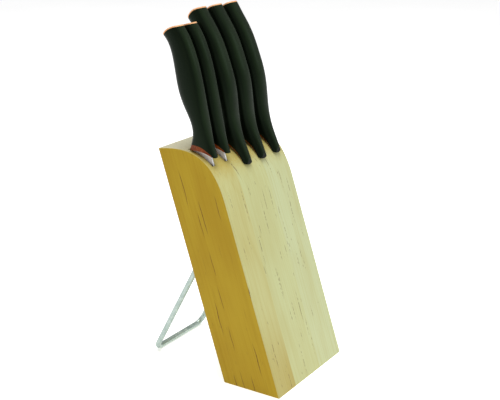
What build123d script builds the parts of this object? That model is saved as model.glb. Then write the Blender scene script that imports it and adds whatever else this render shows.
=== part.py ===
"""Leaning wooden knife block with five knives and a plug-in wire stand.

Millimetres. +Z is up, the block's broad front face looks along -Y and leans back towards +Y.
The origin is on the table, at the middle of the footprint of block and stand.
Side outlines are drawn as (depth, height): depth grows from the block's back face towards its
front face, and height grows along the block from the back face's bottom edge.
"""

import os
from math import cos, pi, radians, sin, tan

from build123d import *

os.makedirs("parts", exist_ok=True)

# ---- driving dimensions ----
BLOCK_WIDTH = 110.0
BLOCK_DEPTH = 54.0  # square to the front face
LEAN = 18.0  # degrees from upright
BACK_HEIGHT = 215.5  # length of the back face
FRONT_HEIGHT = 154.8  # where the front face starts to curve over
BACK_TOP_SLOPE = 8.0  # degrees the rounded top falls away from the back corner
CURVE_PULL = 0.69  # how full the rounded top is
FOOTPRINT_DEPTH = 150.0  # front bottom edge to the rear of the stand
EDGE_ROUND = 0.8

SLOT_WIDTH = 4.6
SLOT_SHIFT = 0.8  # slot middle to the left of its blade's
SPINE_DEPTH = 47.0  # all blades have their spines in line
SPINE_PLAY = 0.4
EDGE_PLAY = 1.0

WIRE_DIAMETER = 5.0
STAND_SPACING = 72.0  # arm centre to arm centre
PIN_Z = 97.0
PIN_DEPTH = 20.0  # wire inside the block
PIN_BEND_OUT = 8.0  # bend corner's distance behind the back face
WIRE_BEND = 8.0
HOLE_CLEARANCE = 0.05
HOLE_EXTRA = 1.0

CAP_THICKNESS = 1.1
TANG_DEPTH = 42.0  # its middle
TANG_WIDTH = 7.0
TANG_LENGTH = 95.0
TANG_MIDDLE = 237.5
TIP_RATIO = 1.6  # curved tip length over blade width
NECK_TOP = 216.0
SCALLOP_PITCH = 7.0
SCALLOP_RADIUS = 5.0
SCALLOP_BITE = 1.2
HEEL_HEIGHT = 203.0
NECK_DEPTH = 29.5  # belly side of the blade's neck under the collar
EDGE_LAND = 0.4
GRIND = 0.7  # share of the blade's width that is ground to the edge
SECTION_POINTS = 16
SECTION_POWER = 2.5  # 2 is an ellipse, more is boxier
FAR = 65.0

# A handle's sections from the blade end to the butt: height, back depth, belly depth, thickness
LARGE_SECTIONS = (
    (174, 52.4, 24.0, 13.0),
    (188, 54.6, 24.5, 14.0),
    (201, 53.1, 26.0, 15.5),
    (211, 52.5, 31.5, 16.5),
    (223, 53.4, 36.8, 17.5),
    (240, 56.9, 36.0, 19.5),
    (257, 59.1, 34.8, 21.0),
    (273, 58.8, 35.6, 21.0),
    (289, 57.6, 37.4, 20.0),
    (303, 54.8, 37.4, 18.8),
    (314, 51.7, 34.6, 18.4),
    (328, 47.0, 29.4, 18.4),
)
SMALL_SECTIONS = (
    (186, 51.0, 26.5, 11.5),
    (198, 52.2, 27.0, 12.5),
    (208, 52.0, 28.5, 13.5),
    (216, 52.4, 34.4, 14.2),
    (226, 53.2, 37.9, 15.0),
    (241, 55.0, 36.2, 16.0),
    (256, 56.8, 34.4, 16.5),
    (272, 58.0, 35.8, 16.5),
    (286, 57.9, 37.7, 16.2),
    (297, 56.8, 37.8, 15.8),
    (305, 55.0, 35.6, 15.6),
    (316, 51.5, 30.6, 15.6),
)
# Where the handle ends over the blade, from belly to back, then the nose of the tongue
LARGE_SEAT = ((14, 217.0), (27, 212.4), (35, 208.2), (42, 202.4), (47, 194.8), (50.3, 185.0))
LARGE_NOSE = ((51.4, 181.4), (52.6, 180.2), (53.8, 181.8), (55.2, 186.4))
LARGE_NOSE_RADIUS = 7.2
SMALL_SEAT = ((14, 214.6), (27, 212.8), (36, 211.2), (42, 208.7), (47.5, 203.0), (50, 199.0))
SMALL_NOSE = ((50.6, 196.9), (51.6, 195.7), (52.6, 196.5), (53.4, 199.5))
SMALL_NOSE_RADIUS = 6.5
NOSE_TANGENTS = ((0.28, -1.0), (0.28, 1.0))  # down at its start, up at its end
# The orange collar's blade side, from belly to back
LARGE_COLLAR = ((14, 215.6), (27, 211.0), (35, 206.9), (42, 201.3), (47, 194.0), (50.3, 184.4))
SMALL_COLLAR = ((14, 211.6), (22, 210.4), (28.2, 208.3), (34, 207.0), (42, 204.2), (50, 197.4))
# The butt's dome, from belly to back
LARGE_BUTT = ((24, 305.6), (30, 311.9), (37, 318.3), (44, 322.4), (51, 322.8), (58, 320.8))
SMALL_BUTT = ((26, 300.0), (32, 304.8), (38, 308.5), (44.5, 310.9), (51, 311.2), (59, 309.6))

# ---- frames ----
lean = radians(LEAN)
base_depth = BLOCK_DEPTH / cos(lean)
front_edge_y = -FOOTPRINT_DEPTH / 2
back_edge_y = front_edge_y + base_depth
pin_face_y = back_edge_y + PIN_Z * tan(lean)
BLOCK = Plane(origin=(0, back_edge_y, 0), x_dir=(1, 0, 0), z_dir=(0, sin(lean), cos(lean)))


def side_plane(x):
    """The plane across the block at x, where a sketch's point is (depth, height)."""
    return Plane(
        origin=BLOCK.from_local_coords((x, 0, 0)), x_dir=-BLOCK.y_dir, z_dir=(-1, 0, 0)
    )


# ---- the block: boards, with spacer strips between them that leave the slots ----
top_start = Vector(0, BACK_HEIGHT)
top_end = Vector(BLOCK_DEPTH, FRONT_HEIGHT)
slope = radians(BACK_TOP_SLOPE)
top_pull_start = top_start + Vector(cos(slope), -sin(slope)) * CURVE_PULL * BLOCK_DEPTH
top_pull_end = top_end + Vector(0, 1) * CURVE_PULL * (BACK_HEIGHT - FRONT_HEIGHT)


def wood_piece(label, x_low, x_high, depth_low=0.0, depth_high=BLOCK_DEPTH):
    """A board, or a strip of it between two depths, with the stand's holes where they fall."""
    pin_planes = [
        Plane(origin=(x, pin_face_y + PIN_BEND_OUT, PIN_Z), z_dir=(0, 1, 0))
        for x in (-STAND_SPACING / 2, STAND_SPACING / 2)
        if x_low < x < x_high and depth_low == 0
    ]
    outer_faces = [x for x in (x_low, x_high) if abs(x) == BLOCK_WIDTH / 2]
    with BuildPart() as piece:
        with BuildSketch(side_plane(x_low)):
            with BuildLine():
                Polyline(top_start, (0, 0), (BLOCK_DEPTH, -BLOCK_DEPTH * tan(lean)), top_end)
                Bezier(top_end, top_pull_end, top_pull_start, top_start)
            make_face()
            with Locations(((depth_low + depth_high) / 2, BACK_HEIGHT / 2)):
                Rectangle(depth_high - depth_low, 2 * BACK_HEIGHT, mode=Mode.INTERSECT)
        extrude(amount=x_low - x_high)
        for x in outer_faces:
            outer = piece.faces().filter_by_position(Axis.X, x - 0.01, x + 0.01)
            fillet(outer.edges(), EDGE_ROUND)
        if pin_planes:
            with Locations(*pin_planes):
                Hole(WIRE_DIAMETER / 2 + HOLE_CLEARANCE, PIN_BEND_OUT + PIN_DEPTH + HOLE_EXTRA)
    piece.part.label = label
    return piece


def export(piece):
    export_step(piece.part, f"parts/{piece.part.label}.step")


# Each knife: name, blade centre x, blade width, blade thickness, blade tip height
KNIVES = (
    ("paring_knife", -46.5, 19.0, 1.6, 112.0),
    ("utility_knife", -27.5, 22.0, 1.6, 78.0),
    ("cooks_knife", -4.5, 38.0, 2.2, 0.0),
    ("bread_knife", 19.5, 31.0, 2.2, -2.0),
    ("carving_knife", 43.5, 28.0, 2.2, 4.0),
)
SMALL_KNIVES = ("paring_knife", "utility_knife")
SERRATED_KNIFE = "bread_knife"

walls = [-BLOCK_WIDTH / 2]
for _, blade_x, *_ in KNIVES:
    slot_x = blade_x - SLOT_SHIFT
    walls += [slot_x - SLOT_WIDTH / 2, slot_x + SLOT_WIDTH / 2]
walls.append(BLOCK_WIDTH / 2)
for board in range(len(KNIVES) + 1):
    export(wood_piece(f"board_{board + 1}", walls[2 * board], walls[2 * board + 1]))

for name, blade_x, blade_width, *_ in KNIVES:
    low = blade_x - SLOT_SHIFT - SLOT_WIDTH / 2
    high = low + SLOT_WIDTH
    slot_back = SPINE_DEPTH - blade_width - EDGE_PLAY
    slot_front = SPINE_DEPTH + SPINE_PLAY
    export(wood_piece(f"{name}_rear_strip", low, high, 0.0, slot_back))
    export(wood_piece(f"{name}_front_strip", low, high, slot_front, BLOCK_DEPTH))

# ---- the wire stand: one bent rod, its two level ends plugged into the back face ----
foot_y = FOOTPRINT_DEPTH / 2 - WIRE_DIAMETER / 2
foot_z = WIRE_DIAMETER / 2
stand_x = STAND_SPACING / 2


def stand_arm(x):
    """Pin end, bend and foot of the arm at x."""
    return [
        Vector(x, pin_face_y - PIN_DEPTH, PIN_Z),
        Vector(x, pin_face_y + PIN_BEND_OUT, PIN_Z),
        Vector(x, foot_y, foot_z),
    ]


with BuildPart() as wire_stand:
    with BuildLine() as wire_path:
        FilletPolyline(*stand_arm(-stand_x), *reversed(stand_arm(stand_x)), radius=WIRE_BEND)
    with BuildSketch(Plane(origin=wire_path.line @ 0, z_dir=wire_path.line % 0)):
        Circle(WIRE_DIAMETER / 2)
    sweep()
wire_stand.part.label = "wire_stand"
export(wire_stand)


# ---- the knives ----
def section_outline(center_x, section):
    """A rounded, slightly boxy ring of points for one handle section."""
    _, back, belly, thickness = section
    ring = []
    for step in range(SECTION_POINTS):
        angle = 2 * pi * step / SECTION_POINTS
        x, y = cos(angle), sin(angle)
        stretch = (abs(x) ** SECTION_POWER + abs(y) ** SECTION_POWER) ** (-1 / SECTION_POWER)
        across = x * stretch * thickness / 2
        along = y * stretch * (back - belly) / 2
        ring.append((center_x + across, along - (back + belly) / 2))
    return ring


def grip_piece(label, center_x, sections, lower, nose, upper, tang_thickness, nose_end):
    """The handle's lofted body, kept between two side lines.

    nose is the tongue's rounded end beyond the lower line, or nothing. nose_end is that end's
    height and radius seen from the front.
    """
    nose_height, nose_radius = nose_end
    nose_center = BLOCK.from_local_coords((center_x, 0, nose_height + nose_radius))
    behind = [(FAR, nose[-1][1]), (FAR, upper[-1][1])] if nose else []
    with BuildPart() as piece:
        for section in sections:
            with BuildSketch(BLOCK.offset(section[0])):
                with BuildLine():
                    Spline(*section_outline(center_x, section), periodic=True)
                make_face()
        loft()
        with BuildSketch(side_plane(center_x)):
            with BuildLine():
                Spline(*lower)
                if nose:
                    Spline(lower[-1], *nose, tangents=NOSE_TANGENTS)
                Polyline(nose[-1] if nose else lower[-1], *behind, upper[-1])
                Spline(*upper)
                Line(upper[0], lower[0])
            make_face()
        extrude(amount=FAR, both=True, mode=Mode.INTERSECT)
        with BuildSketch(Plane(origin=nose_center, x_dir=(1, 0, 0), z_dir=-BLOCK.y_dir)):
            Rectangle(2 * FAR, FAR, align=(Align.CENTER, Align.MAX))
            Circle(nose_radius, mode=Mode.SUBTRACT)
        extrude(amount=FAR, mode=Mode.SUBTRACT)
        with BuildSketch(side_plane(center_x)):
            with Locations((TANG_DEPTH, TANG_MIDDLE)):
                Rectangle(TANG_WIDTH, TANG_LENGTH)
        extrude(amount=tang_thickness / 2, both=True, mode=Mode.SUBTRACT)
    piece.part.label = label
    return piece


def lowered(line, drop):
    return [(depth, height - drop) for depth, height in line]


def blade_piece(label, center_x, width, thickness, tip_height, collar_line, serrated):
    """A ground blade whose neck ends under the collar, with a tang that runs on into the handle."""
    edge = SPINE_DEPTH - width
    ground = SPINE_DEPTH - (1 - GRIND) * width
    tip_length = TIP_RATIO * width
    tip_top = tip_height + tip_length
    edge_end = (edge, tip_top)
    tip = (SPINE_DEPTH - 1.5, tip_height)
    scallop_count = int((HEEL_HEIGHT - 6 - tip_top) / SCALLOP_PITCH)
    scallops = [
        (edge - SCALLOP_RADIUS + SCALLOP_BITE, tip_top + SCALLOP_PITCH * (n + 0.5))
        for n in range(scallop_count)
    ]
    with BuildPart() as blade:
        with BuildSketch(side_plane(center_x)):
            with BuildLine():
                Bezier(edge_end, (edge, tip_height + 0.4 * tip_length), tip)
                Polyline(
                    tip,
                    (SPINE_DEPTH, tip_height + 1.5),
                    (SPINE_DEPTH, NECK_TOP),
                    (NECK_DEPTH, NECK_TOP),
                    (NECK_DEPTH, HEEL_HEIGHT),
                    (edge, HEEL_HEIGHT),
                    edge_end,
                )
            make_face()
            with BuildLine():
                Spline(*collar_line)
                Polyline(
                    collar_line[-1], (FAR, collar_line[-1][1]), (FAR, FAR + NECK_TOP), collar_line[0]
                )
            make_face(mode=Mode.SUBTRACT)
            if serrated:
                with Locations(*scallops):
                    Circle(SCALLOP_RADIUS, mode=Mode.SUBTRACT)
        extrude(amount=thickness / 2, both=True)
        with BuildSketch(BLOCK.offset(NECK_TOP)):
            with BuildLine():
                Polyline(
                    (center_x - EDGE_LAND / 2, -edge),
                    (center_x - thickness / 2, -ground),
                    (center_x - thickness / 2, -SPINE_DEPTH),
                    (center_x + thickness / 2, -SPINE_DEPTH),
                    (center_x + thickness / 2, -ground),
                    (center_x + EDGE_LAND / 2, -edge),
                    close=True,
                )
            make_face()
        extrude(amount=-2 * NECK_TOP, mode=Mode.INTERSECT)
        with BuildSketch(side_plane(center_x)):
            with Locations((TANG_DEPTH, TANG_MIDDLE)):
                Rectangle(TANG_WIDTH, TANG_LENGTH)
        extrude(amount=thickness / 2, both=True)
    blade.part.label = label
    return blade


for name, blade_x, blade_width, blade_thickness, tip_height in KNIVES:
    small = name in SMALL_KNIVES
    sections = SMALL_SECTIONS if small else LARGE_SECTIONS
    collar_line = SMALL_COLLAR if small else LARGE_COLLAR
    seat = SMALL_SEAT if small else LARGE_SEAT
    nose = SMALL_NOSE if small else LARGE_NOSE
    nose_radius = SMALL_NOSE_RADIUS if small else LARGE_NOSE_RADIUS
    butt = SMALL_BUTT if small else LARGE_BUTT
    cap_line = lowered(butt, CAP_THICKNESS)
    ends = (blade_thickness, (nose[1][1], nose_radius))
    serrated = name == SERRATED_KNIFE
    blade = (blade_x, blade_width, blade_thickness, tip_height, collar_line, serrated)
    export(blade_piece(f"{name}_blade", *blade))
    export(grip_piece(f"{name}_collar", blade_x, sections, collar_line, (), seat, *ends))
    export(grip_piece(f"{name}_handle", blade_x, sections, seat, nose, cap_line, *ends))
    export(grip_piece(f"{name}_butt_cap", blade_x, sections, cap_line, (), butt, *ends))
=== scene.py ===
"""Knife block with knives: camera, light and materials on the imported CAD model."""

import math

import bpy
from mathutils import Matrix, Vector

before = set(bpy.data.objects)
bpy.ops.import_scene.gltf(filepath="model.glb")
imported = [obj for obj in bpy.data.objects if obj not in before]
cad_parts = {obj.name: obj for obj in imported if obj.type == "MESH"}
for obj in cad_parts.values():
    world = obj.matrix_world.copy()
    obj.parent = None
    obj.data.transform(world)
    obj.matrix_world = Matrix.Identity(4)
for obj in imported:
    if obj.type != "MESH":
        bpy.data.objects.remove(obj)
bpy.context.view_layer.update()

LEAN = math.radians(18.0)
UP_BLOCK = (0.0, math.sin(LEAN), math.cos(LEAN))  # along the leaning block
FORWARD = (0.0, -math.cos(LEAN), math.sin(LEAN))  # square out of its front face
MM = 1000.0  # per metre
KNIVES = ("paring_knife", "utility_knife", "cooks_knife", "bread_knife", "carving_knife")
SMALL_KNIVES = KNIVES[:2]


# ---------------------------------------------------------------- node helpers
class Tree:
    """A material's node tree with short calls for the nodes used here."""

    def __init__(self, name):
        self.material = bpy.data.materials.new(name)
        self.material.use_nodes = True
        self.nodes = self.material.node_tree.nodes
        self.links = self.material.node_tree.links
        self.shader = self.nodes["Principled BSDF"]

    def put(self, socket, value):
        if isinstance(value, bpy.types.NodeSocket):
            self.links.new(value, socket)
        else:
            socket.default_value = value

    def node(self, kind, inputs=(), **settings):
        made = self.nodes.new(kind)
        for key, value in settings.items():
            setattr(made, key, value)
        for key, value in dict(inputs).items():
            self.put(made.inputs[key], value)
        return made

    def math(self, operation, first, second=0.0):
        made = self.node("ShaderNodeMath", operation=operation)
        self.put(made.inputs[0], first)
        self.put(made.inputs[1], second)
        return made.outputs[0]

    def times(self, first, second):
        return self.math("MULTIPLY", first, second)

    def vector(self, operation, first, second):
        made = self.node("ShaderNodeVectorMath", operation=operation)
        self.put(made.inputs[0], first)
        self.put(made.inputs[1], second)
        return made.outputs["Value" if operation in ("DOT_PRODUCT", "LENGTH") else "Vector"]

    def mix(self, factor, first, second):
        made = self.node("ShaderNodeMix", data_type="RGBA")
        self.put(made.inputs[0], factor)
        self.put(made.inputs[6], first)
        self.put(made.inputs[7], second)
        return made.outputs[2]

    def ramp(self, value, low, high, out_low=0.0, out_high=1.0):
        """A smooth step: out_low at or below low, out_high at or above high."""
        made = self.node("ShaderNodeMapRange", interpolation_type="SMOOTHSTEP")
        for index, entry in enumerate((value, low, high, out_low, out_high)):
            self.put(made.inputs[index], entry)
        return made.outputs[0]

    def noise(self, vector, detail=3.0, roughness=0.5, scale=1.0):
        made = self.node(
            "ShaderNodeTexNoise",
            {
                "Vector": vector,
                "Scale": scale,
                "Detail": detail,
                "Roughness": roughness,
            },
        )
        return made.outputs["Fac"]

    def bump(self, height, strength, distance, normal=None):
        made = self.node(
            "ShaderNodeBump", {"Height": height, "Strength": strength, "Distance": distance}
        )
        if normal is not None:
            self.put(made.inputs["Normal"], normal)
        return made.outputs["Normal"]

    def shiny(self, roughness, specular=None, metallic=None):
        """Set how the surface shines; each is a number or a socket."""
        self.put(self.shader.inputs["Roughness"], roughness)
        if specular is not None:
            self.put(self.shader.inputs["Specular IOR Level"], specular)
        if metallic is not None:
            self.put(self.shader.inputs["Metallic"], metallic)

    def coordinates(self, shift=(0.0, 0.0, 0.0)):
        """Object coordinates in millimetres turned so that Z runs along the leaning block."""
        texture = self.node("ShaderNodeTexCoord")
        mapped = self.node("ShaderNodeMapping", {"Vector": texture.outputs["Object"]})
        mapped.inputs["Rotation"].default_value = (LEAN, 0.0, 0.0)
        mapped.inputs["Scale"].default_value = (MM, MM, MM)
        mapped.inputs["Location"].default_value = shift
        return mapped.outputs["Vector"]

    def facing(self, direction):
        """How far the surface faces a direction, from -1 to 1."""
        normal = self.node("ShaderNodeTexCoord").outputs["Normal"]
        return self.vector("DOT_PRODUCT", normal, direction)

    def stretched(self, vector, across, along):
        """Coordinates for a noise whose grains are this many mm across and along the block."""
        return self.vector("MULTIPLY", vector, (1 / across, 1 / across, 1 / along))


def colour(red, green, blue):
    """A display colour from 0 to 255 as a linear shader colour."""
    linear = []
    for channel in (red, green, blue):
        part = channel / 255.0
        linear.append(part / 12.92 if part <= 0.04045 else ((part + 0.055) / 1.055) ** 2.4)
    return (*linear, 1.0)


# ---------------------------------------------------------------- materials
# Side-face colours: partly the ochre of the flat-sawn board faces and partly painted shade, darker
# and warmer than the front.
SIDE_OCHRE_AND_SHADE = colour(172, 142, 20)
SIDE_SHADE = colour(150, 112, 8)
SHOULDER = colour(188, 164, 72)
END_GRAIN = colour(216, 210, 184)
FLECK = colour(92, 56, 30)
PITH_DEPTH = 95.0  # mm from the back edge to the rings' middle
FLECKS = (  # mm: cell width, height, mark half width, half length; share of cells, side strength
    (10.0, 30.0, 0.40, 8.0, 0.32, 0.25),
    (7.0, 13.0, 0.42, 2.0, 0.16, 0.3),
    (16.0, 52.0, 0.55, 19.0, 0.38, 1.0),
    (11.0, 40.0, 0.42, 14.0, 0.30, 1.0),
)


def growth_rings(tree, base, parts):
    """Wide arcs of a tree's rings, bent by a slow noise."""
    bend = tree.noise(tree.stretched(base, 40.0, 160.0), 2.0)
    ring_x = tree.math("ADD", parts.outputs["X"], tree.times(bend, 26.0))
    ring_y = tree.math("ADD", parts.outputs["Y"], PITH_DEPTH)
    squares = tree.math("ADD", tree.math("POWER", ring_x, 2.0), tree.math("POWER", ring_y, 2.0))
    ring = tree.math("SINE", tree.times(tree.math("SQRT", squares), 2.1))
    return tree.ramp(ring, 0.2, 1.0)


def flecks(tree, base, parts, side_face):
    """Short dark dashes in rows along the grain, longer and unbroken on the side faces."""
    wander = tree.noise(tree.stretched(base, 60.0, 22.0), 2.0)
    across = tree.math("ADD", parts.outputs["X"], parts.outputs["Y"])
    across = tree.math("ADD", across, tree.times(wander, 3.0))
    dash = tree.ramp(tree.noise(tree.stretched(base, 1.6, 2.4), 1.0), 0.40, 0.58)
    solid = tree.math("MAXIMUM", dash, tree.times(side_face, 0.8))
    marks = 0.0
    for cell_x, cell_z, half_x, half_z, share, on_side in FLECKS:
        flat = tree.node("ShaderNodeCombineXYZ")
        tree.put(flat.inputs[0], tree.math("DIVIDE", across, cell_x))
        tree.put(flat.inputs[1], tree.math("DIVIDE", parts.outputs["Z"], cell_z))
        cells = tree.node(
            "ShaderNodeTexVoronoi",
            {"Vector": flat.outputs[0], "Scale": 1.0, "Randomness": 1.0},
            voronoi_dimensions="2D",
        )
        offset = tree.vector("SUBTRACT", flat.outputs[0], cells.outputs["Position"])
        offset = tree.vector("MULTIPLY", offset, (cell_x / half_x, cell_z / half_z, 0.0))
        reach = tree.vector("LENGTH", offset, (0.0, 0.0, 0.0))
        chance = tree.node("ShaderNodeSeparateXYZ", {"Vector": cells.outputs["Color"]})
        chosen = tree.math("LESS_THAN", chance.outputs["X"], share)
        mark = tree.times(tree.ramp(reach, 0.5, 1.0, 1.0, 0.0), chosen)
        mark = tree.times(mark, tree.ramp(side_face, 0.0, 1.0, 0.8, on_side))
        marks = tree.math("MAXIMUM", marks, mark)
    return tree.times(marks, solid)


def birch(name, light, dark, shift, foot=None):
    """Pale lacquered birch: soft streaks, growth rings, dark flecks, and ochre side faces that are
    partly painted shade.

    foot is a deeper colour that comes in towards the bottom of the front and back faces.
    """
    tree = Tree(name)
    base = tree.coordinates(shift)
    parts = tree.node("ShaderNodeSeparateXYZ", {"Vector": base})
    side_face = tree.ramp(tree.math("ABSOLUTE", tree.facing((1.0, 0.0, 0.0))), 0.45, 0.95)
    along_grain = tree.math("ABSOLUTE", tree.facing(UP_BLOCK))
    cloud = tree.noise(tree.stretched(base, 26.0, 90.0))
    streak = tree.noise(tree.stretched(base, 1.7, 95.0), 4.0, 0.6)
    fibre = tree.noise(tree.stretched(base, 0.45, 14.0), 3.0, 0.6)

    tone = tree.mix(tree.ramp(cloud, 0.35, 0.72, 0.0, 0.45), light, dark)
    tone = tree.mix(tree.ramp(streak, 0.45, 0.75, 0.0, 0.38), tone, dark)
    tone = tree.mix(tree.times(growth_rings(tree, base, parts), 0.12), tone, dark)
    side = tree.mix(tree.ramp(streak, 0.4, 0.72, 0.0, 0.30), SIDE_OCHRE_AND_SHADE, SIDE_SHADE)
    side = tree.mix(tree.ramp(cloud, 0.38, 0.66, 0.0, 0.35), side, SIDE_SHADE)
    # Partly painted shade: faces turned sideways take the darker, warmer side colour.
    tone = tree.mix(tree.times(side_face, 0.95), tone, side)
    shoulder = tree.times(
        tree.ramp(along_grain, 0.12, 0.5), tree.ramp(along_grain, 0.82, 0.97, 1.0, 0.0)
    )
    shoulder = tree.times(shoulder, tree.ramp(fibre, 0.3, 0.68, 0.3, 1.0))
    tone = tree.mix(shoulder, tone, SHOULDER)
    tone = tree.mix(tree.ramp(along_grain, 0.82, 0.97, 0.0, 0.75), tone, END_GRAIN)
    if foot is not None:
        low = tree.math("ADD", parts.outputs["Z"], tree.times(cloud, 22.0))
        low = tree.ramp(low, 0.0, 70.0, 0.5, 0.0)
        tone = tree.mix(tree.times(low, tree.math("SUBTRACT", 1.0, side_face)), tone, foot)
    marks = flecks(tree, base, parts, side_face)
    marks = tree.times(marks, tree.ramp(along_grain, 0.25, 0.85, 1.0, 0.0))
    tone = tree.mix(tree.times(marks, 0.85), tone, FLECK)

    tree.put(tree.shader.inputs["Base Color"], tone)
    tree.shiny(tree.ramp(streak, 0.3, 0.8, 0.40, 0.56), tree.ramp(side_face, 0.0, 1.0, 0.28, 0.1))
    pores = tree.bump(fibre, 0.35, 0.00012)
    tree.put(tree.shader.inputs["Normal"], tree.bump(marks, -0.5, 0.0002, pores))
    return tree.material


def satin_plastic():
    """Green-black moulded plastic, finely grained, with a painted green highlight along the front
    of the handle.
    """
    tree = Tree("handle_satin")
    base = tree.coordinates()
    cloud = tree.noise(tree.stretched(base, 14.0, 40.0))
    grain = tree.noise(tree.stretched(base, 0.55, 0.55), 2.0, 0.7)
    tone = tree.mix(tree.ramp(cloud, 0.3, 0.7), colour(2, 5, 2), colour(5, 9, 4))
    tone = tree.mix(tree.ramp(grain, 0.55, 0.8, 0.0, 0.25), tone, colour(20, 30, 18))
    # Painted highlight: faces turned to the front of the block are coloured a lighter green.
    front_highlight = tree.ramp(tree.facing(FORWARD), 0.62, 0.96)
    front_highlight = tree.times(front_highlight, tree.ramp(cloud, 0.25, 0.7, 0.6, 1.0))
    tone = tree.mix(front_highlight, tone, colour(22, 33, 17))
    # Painted shade: faces turned down the block get a flat dark tone and much weaker shine, so they
    # stay dark.
    under = tree.ramp(tree.facing(UP_BLOCK), -0.4, -0.1, 1.0, 0.0)
    tone = tree.mix(under, tone, colour(9, 13, 8))
    tree.put(tree.shader.inputs["Base Color"], tone)
    tree.shiny(tree.ramp(grain, 0.3, 0.75, 0.34, 0.46), tree.ramp(under, 0.0, 1.0, 0.16, 0.05))
    tree.shader.inputs["Specular Tint"].default_value = (0.66, 1.0, 0.62, 1.0)
    tree.put(tree.shader.inputs["Normal"], tree.bump(grain, 0.4, 0.00010))
    return tree.material


def copper_plastic(name, low, high, butt_highlight=None):
    """Copper-orange semi-gloss trim with faint moulding mottle, scuffs and maybe a painted
    highlight on the face turned up the block.
    """
    tree = Tree(name)
    base = tree.coordinates()
    mottle = tree.noise(tree.stretched(base, 3.0, 3.0), 4.0, 0.6)
    scuff = tree.noise(tree.stretched(base, 0.6, 5.0), 2.0, 0.6)
    tone = tree.mix(tree.ramp(mottle, 0.3, 0.7), low, high)
    tone = tree.mix(tree.ramp(scuff, 0.62, 0.8, 0.0, 0.25), tone, colour(236, 180, 124))
    # Painted highlight: faces turned up the block take the paler highlight colour.
    if butt_highlight is not None:
        tone = tree.mix(tree.ramp(tree.facing(UP_BLOCK), 0.45, 0.75, 0.0, 0.85), tone, butt_highlight)
    tree.put(tree.shader.inputs["Base Color"], tone)
    tree.shiny(tree.ramp(scuff, 0.3, 0.8, 0.28, 0.5), 0.18)
    tree.put(tree.shader.inputs["Normal"], tree.bump(mottle, 0.15, 0.0001))
    return tree.material


NECK_START = 182.0  # mm along the block, where the painted white reflection on a small blade's neck begins
NECK_FADE = 6.0


def blade_steel(name, neck_start=None):
    """Ground stainless steel with lines across the blade, maybe with a painted white reflection at
    the neck.

    neck_start is the height along the block, in mm, where the painted white reflection begins.
    """
    tree = Tree(name)
    base = tree.coordinates()
    lines = tree.noise(tree.vector("MULTIPLY", base, (0.1, 0.03, 2.6)), 2.0)
    cloud = tree.noise(tree.stretched(base, 12.0, 12.0), 2.0)
    tone = tree.mix(tree.ramp(lines, 0.3, 0.7), colour(186, 191, 197), colour(208, 212, 217))
    tone = tree.mix(tree.ramp(cloud, 0.4, 0.75, 0.0, 0.2), tone, colour(168, 173, 180))
    metallic = 0.85
    if neck_start is not None:
        height = tree.node("ShaderNodeSeparateXYZ", {"Vector": base}).outputs["Z"]
        # Painted reflection: from neck_start up, the blade is coloured white and made mostly
        # unmetallic, standing in for the white surround it mirrors.
        neck = tree.ramp(height, neck_start, neck_start + NECK_FADE)
        tone = tree.mix(neck, tone, colour(250, 250, 250))
        metallic = tree.ramp(neck, 0.0, 1.0, metallic, 0.15)
    tree.put(tree.shader.inputs["Base Color"], tone)
    tree.shiny(tree.ramp(lines, 0.25, 0.75, 0.2, 0.3), metallic=metallic)
    tree.put(tree.shader.inputs["Normal"], tree.bump(lines, 0.12, 0.00004))
    return tree.material


def wire_metal():
    """Pale zinc-plated wire with soft draw lines and cloudy plating."""
    tree = Tree("stand_wire")
    texture = tree.node("ShaderNodeTexCoord")
    base = tree.vector("MULTIPLY", texture.outputs["Object"], (MM, MM, MM))
    cloud = tree.noise(tree.vector("MULTIPLY", base, (0.16, 0.16, 0.16)))
    lines = tree.noise(tree.vector("MULTIPLY", base, (1.8, 0.9, 0.12)), 3.0, 0.6)
    tone = tree.mix(tree.ramp(cloud, 0.35, 0.7), colour(160, 176, 170), colour(186, 199, 194))
    tone = tree.mix(tree.ramp(lines, 0.5, 0.8, 0.0, 0.35), tone, colour(122, 138, 132))
    tree.put(tree.shader.inputs["Base Color"], tone)
    tree.shiny(tree.ramp(cloud, 0.3, 0.8, 0.34, 0.5), metallic=0.75)
    tree.put(tree.shader.inputs["Normal"], tree.bump(lines, 0.2, 0.00006))
    return tree.material


DARK = colour(184, 177, 112)
WARM = birch(
    "birch_warm", colour(196, 194, 134), colour(180, 164, 88), (0.0, 7.0, 0.0), colour(172, 148, 56)
)
PALE = birch("birch_pale", colour(197, 201, 147), DARK, (37.0, 11.0, 60.0))
PALE_TOO = birch("birch_pale_too", colour(198, 204, 156), DARK, (91.0, 23.0, 140.0))
HANDLE = satin_plastic()
# The collar's deep red-brown is partly its own deep orange and partly painted shade.
COLLAR = copper_plastic("copper_collar", colour(100, 38, 0), colour(124, 54, 0))
# The caps' pale peach is the copper-orange trim painted as if in strong light from above, with a
# painted highlight on the butt face.
CAP = copper_plastic(
    "copper_cap", colour(228, 158, 104), colour(240, 190, 142), colour(236, 186, 130)
)
SMALL_STEEL = blade_steel("steel_with_painted_white_neck", NECK_START)
LARGE_STEEL = blade_steel("steel_plain")
WIRE = wire_metal()


def dress(node, material):
    """Give one CAD node a single material."""
    materials = bpy.data.objects[node].data.materials
    if not materials:
        materials.append(material)
    for index in range(len(materials)):
        materials[index] = material


# Boards run from left to right, and each strip matches the board beside it.
BOARDS = (WARM, WARM, PALE, PALE, PALE_TOO, PALE_TOO)
STRIPS = (WARM, WARM, PALE, PALE_TOO, PALE_TOO)
for number, material in enumerate(BOARDS, 1):
    dress(f"board_{number}", material)
for knife, material in zip(KNIVES, STRIPS):
    dress(f"{knife}_rear_strip", material)
    dress(f"{knife}_front_strip", material)
    dress(f"{knife}_handle", HANDLE)
    dress(f"{knife}_collar", COLLAR)
    dress(f"{knife}_butt_cap", CAP)
    dress(f"{knife}_blade", SMALL_STEEL if knife in SMALL_KNIVES else LARGE_STEEL)
dress("wire_stand", WIRE)


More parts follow.
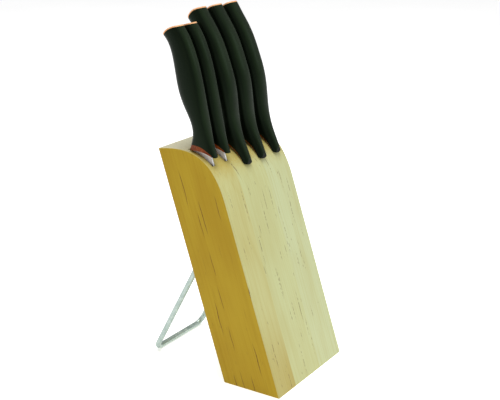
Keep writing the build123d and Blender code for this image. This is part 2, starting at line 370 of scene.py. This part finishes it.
# ---------------------------------------------------------------- floor, light, camera
def make_floor():
    """A wide pale plane under the object, a little self-lit so that it stays white."""
    mesh = bpy.data.meshes.new("floor")
    half = 15.0  # m
    corners = [(-half, -half, 0.0), (half, -half, 0.0), (half, half, 0.0), (-half, half, 0.0)]
    mesh.from_pydata(corners, [], [(0, 1, 2, 3)])
    floor = bpy.data.objects.new("floor", mesh)
    bpy.context.scene.collection.objects.link(floor)
    tree = Tree("floor")
    texture = tree.node("ShaderNodeTexCoord")
    speck = tree.noise(texture.outputs["Object"], 2.0, scale=3.0)
    tone = tree.mix(tree.ramp(speck, 0.3, 0.7), colour(246, 246, 246), colour(250, 250, 250))
    tree.put(tree.shader.inputs["Base Color"], tone)
    tree.shiny(0.9)
    tree.shader.inputs["Emission Color"].default_value = (1.0, 1.0, 1.0, 1.0)
    tree.shader.inputs["Emission Strength"].default_value = 0.5
    mesh.materials.append(tree.material)


def area_light(name, place, aim, size, power, tint):
    """A soft round lamp at place, turned to aim; metres and watts."""
    light = bpy.data.lights.new(name, "AREA")
    light.shape = "DISK"
    light.size = size
    light.energy = power
    light.color = tint
    lamp = bpy.data.objects.new(name, light)
    lamp.location = place
    lamp.rotation_euler = (Vector(aim) - Vector(place)).to_track_quat("-Z", "Y").to_euler()
    bpy.context.scene.collection.objects.link(lamp)


def make_world():
    """An even white surround."""
    world = bpy.data.worlds.new("studio")
    world.use_nodes = True
    background = world.node_tree.nodes["Background"]
    background.inputs["Color"].default_value = (1.0, 1.0, 1.0, 1.0)
    background.inputs["Strength"].default_value = 0.42
    bpy.context.scene.world = world


def make_camera():
    """A view from the left and slightly above; back points from the object to the camera."""
    azimuth = math.radians(-57.526)
    height = math.radians(15.948)
    back = Vector(
        (
            math.sin(azimuth) * math.cos(height),
            -math.cos(azimuth) * math.cos(height),
            math.sin(height),
        )
    )
    data = bpy.data.cameras.new("camera")
    data.sensor_width = 36.0
    data.lens = 75.18
    data.shift_x = -0.0217
    data.shift_y = -0.0604
    camera = bpy.data.objects.new("camera", data)
    camera.location = (-0.7431, -0.4946, 0.4346)
    camera.rotation_euler = back.to_track_quat("Z", "Y").to_euler()
    bpy.context.scene.collection.objects.link(camera)
    bpy.context.scene.camera = camera


make_floor()
make_world()
middle = (0.0, -0.02, 0.15)
area_light("overhead", (0.0, 0.1, 1.9), middle, 1.4, 30.0, (1.0, 1.0, 1.0))
area_light("key", (1.1, -1.5, 1.1), middle, 0.8, 4.0, (0.92, 0.98, 1.0))
area_light("fill", (-1.6, -0.2, 0.6), middle, 0.9, 1.0, (1.0, 0.88, 0.66))
bpy.context.scene.view_settings.view_transform = "Standard"
make_camera()
